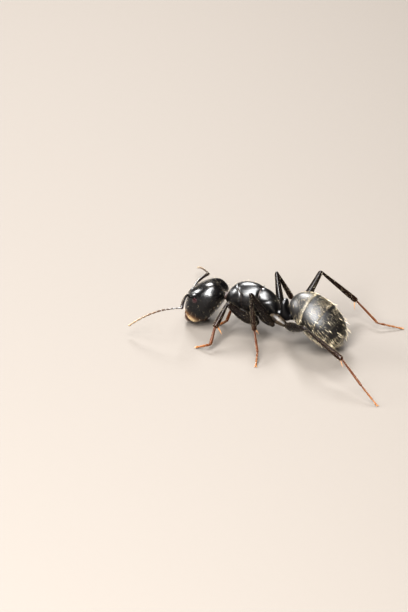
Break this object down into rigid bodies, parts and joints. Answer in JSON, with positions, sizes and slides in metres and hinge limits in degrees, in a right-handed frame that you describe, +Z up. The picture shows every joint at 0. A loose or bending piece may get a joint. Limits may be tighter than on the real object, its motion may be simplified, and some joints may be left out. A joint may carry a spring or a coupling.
{
  "type": "carpenter ant",
  "caption": "Still life-size carpenter ant worker: glossy black head and trunk, haired gaster curled under, elbowed feelers, long legs on their toes.",
  "frame": {"origin": "centre of the bottom of the ant's box, on the floor that it stands on", "axes": "+Z up; the head points to -X and the gaster to +X; the ant's left side is towards -Y"},
  "size_m": [0.0218, 0.014, 0.0045],
  "materials": {
    "head_plate": "polished black shell",
    "eye": "fine-faceted, very dark red-black",
    "mandible": "dark brown with a tan edge",
    "feeler": "dark brown, satin towards the tip",
    "trunk_plate": "glossy black shell with fine grain",
    "gaster_plate": "black shell under short golden hairs",
    "leg": "black-brown, satin gloss",
    "foot": "red-brown to amber"
  },
  "bodies": {
    "root": {"head": "head_plate", "eye_left": "eye", "eye_right": "eye", "mandible_left": "mandible", "mandible_right": "mandible", "antenna_left_scape": "feeler", "antenna_left_flagellum_base": "feeler", "antenna_left_flagellum_tip": "feeler", "antenna_right_scape": "feeler", "antenna_right_flagellum_base": "feeler", "antenna_right_flagellum_tip": "feeler", "pronotum": "trunk_plate", "mesonotum": "trunk_plate", "propodeum": "trunk_plate", "petiole": "trunk_plate", "gaster_1": "gaster_plate", "gaster_2": "gaster_plate", "gaster_3": "gaster_plate", "gaster_4": "gaster_plate", "gaster_5": "gaster_plate", "leg_front_left_coxa": "leg", "leg_front_left_femur": "leg", "leg_front_left_tibia": "leg", "leg_front_left_basitarsus": "foot", "leg_front_left_toes": "foot", "leg_front_right_coxa": "leg", "leg_front_right_femur": "leg", "leg_front_right_tibia": "leg", "leg_front_right_basitarsus": "foot", "leg_front_right_toes": "foot", "leg_middle_left_coxa": "leg", "leg_middle_left_femur": "leg", "leg_middle_left_tibia": "leg", "leg_middle_left_basitarsus": "foot", "leg_middle_left_toes": "foot", "leg_middle_right_coxa": "leg", "leg_middle_right_femur": "leg", "leg_middle_right_tibia": "leg", "leg_middle_right_basitarsus": "foot", "leg_middle_right_toes": "foot", "leg_hind_left_coxa": "leg", "leg_hind_left_femur": "leg", "leg_hind_left_tibia": "leg", "leg_hind_left_basitarsus": "foot", "leg_hind_left_toes": "foot", "leg_hind_right_coxa": "leg", "leg_hind_right_femur": "leg", "leg_hind_right_tibia": "leg", "leg_hind_right_basitarsus": "foot", "leg_hind_right_toes": "foot"}
  },
  "joints": []
}
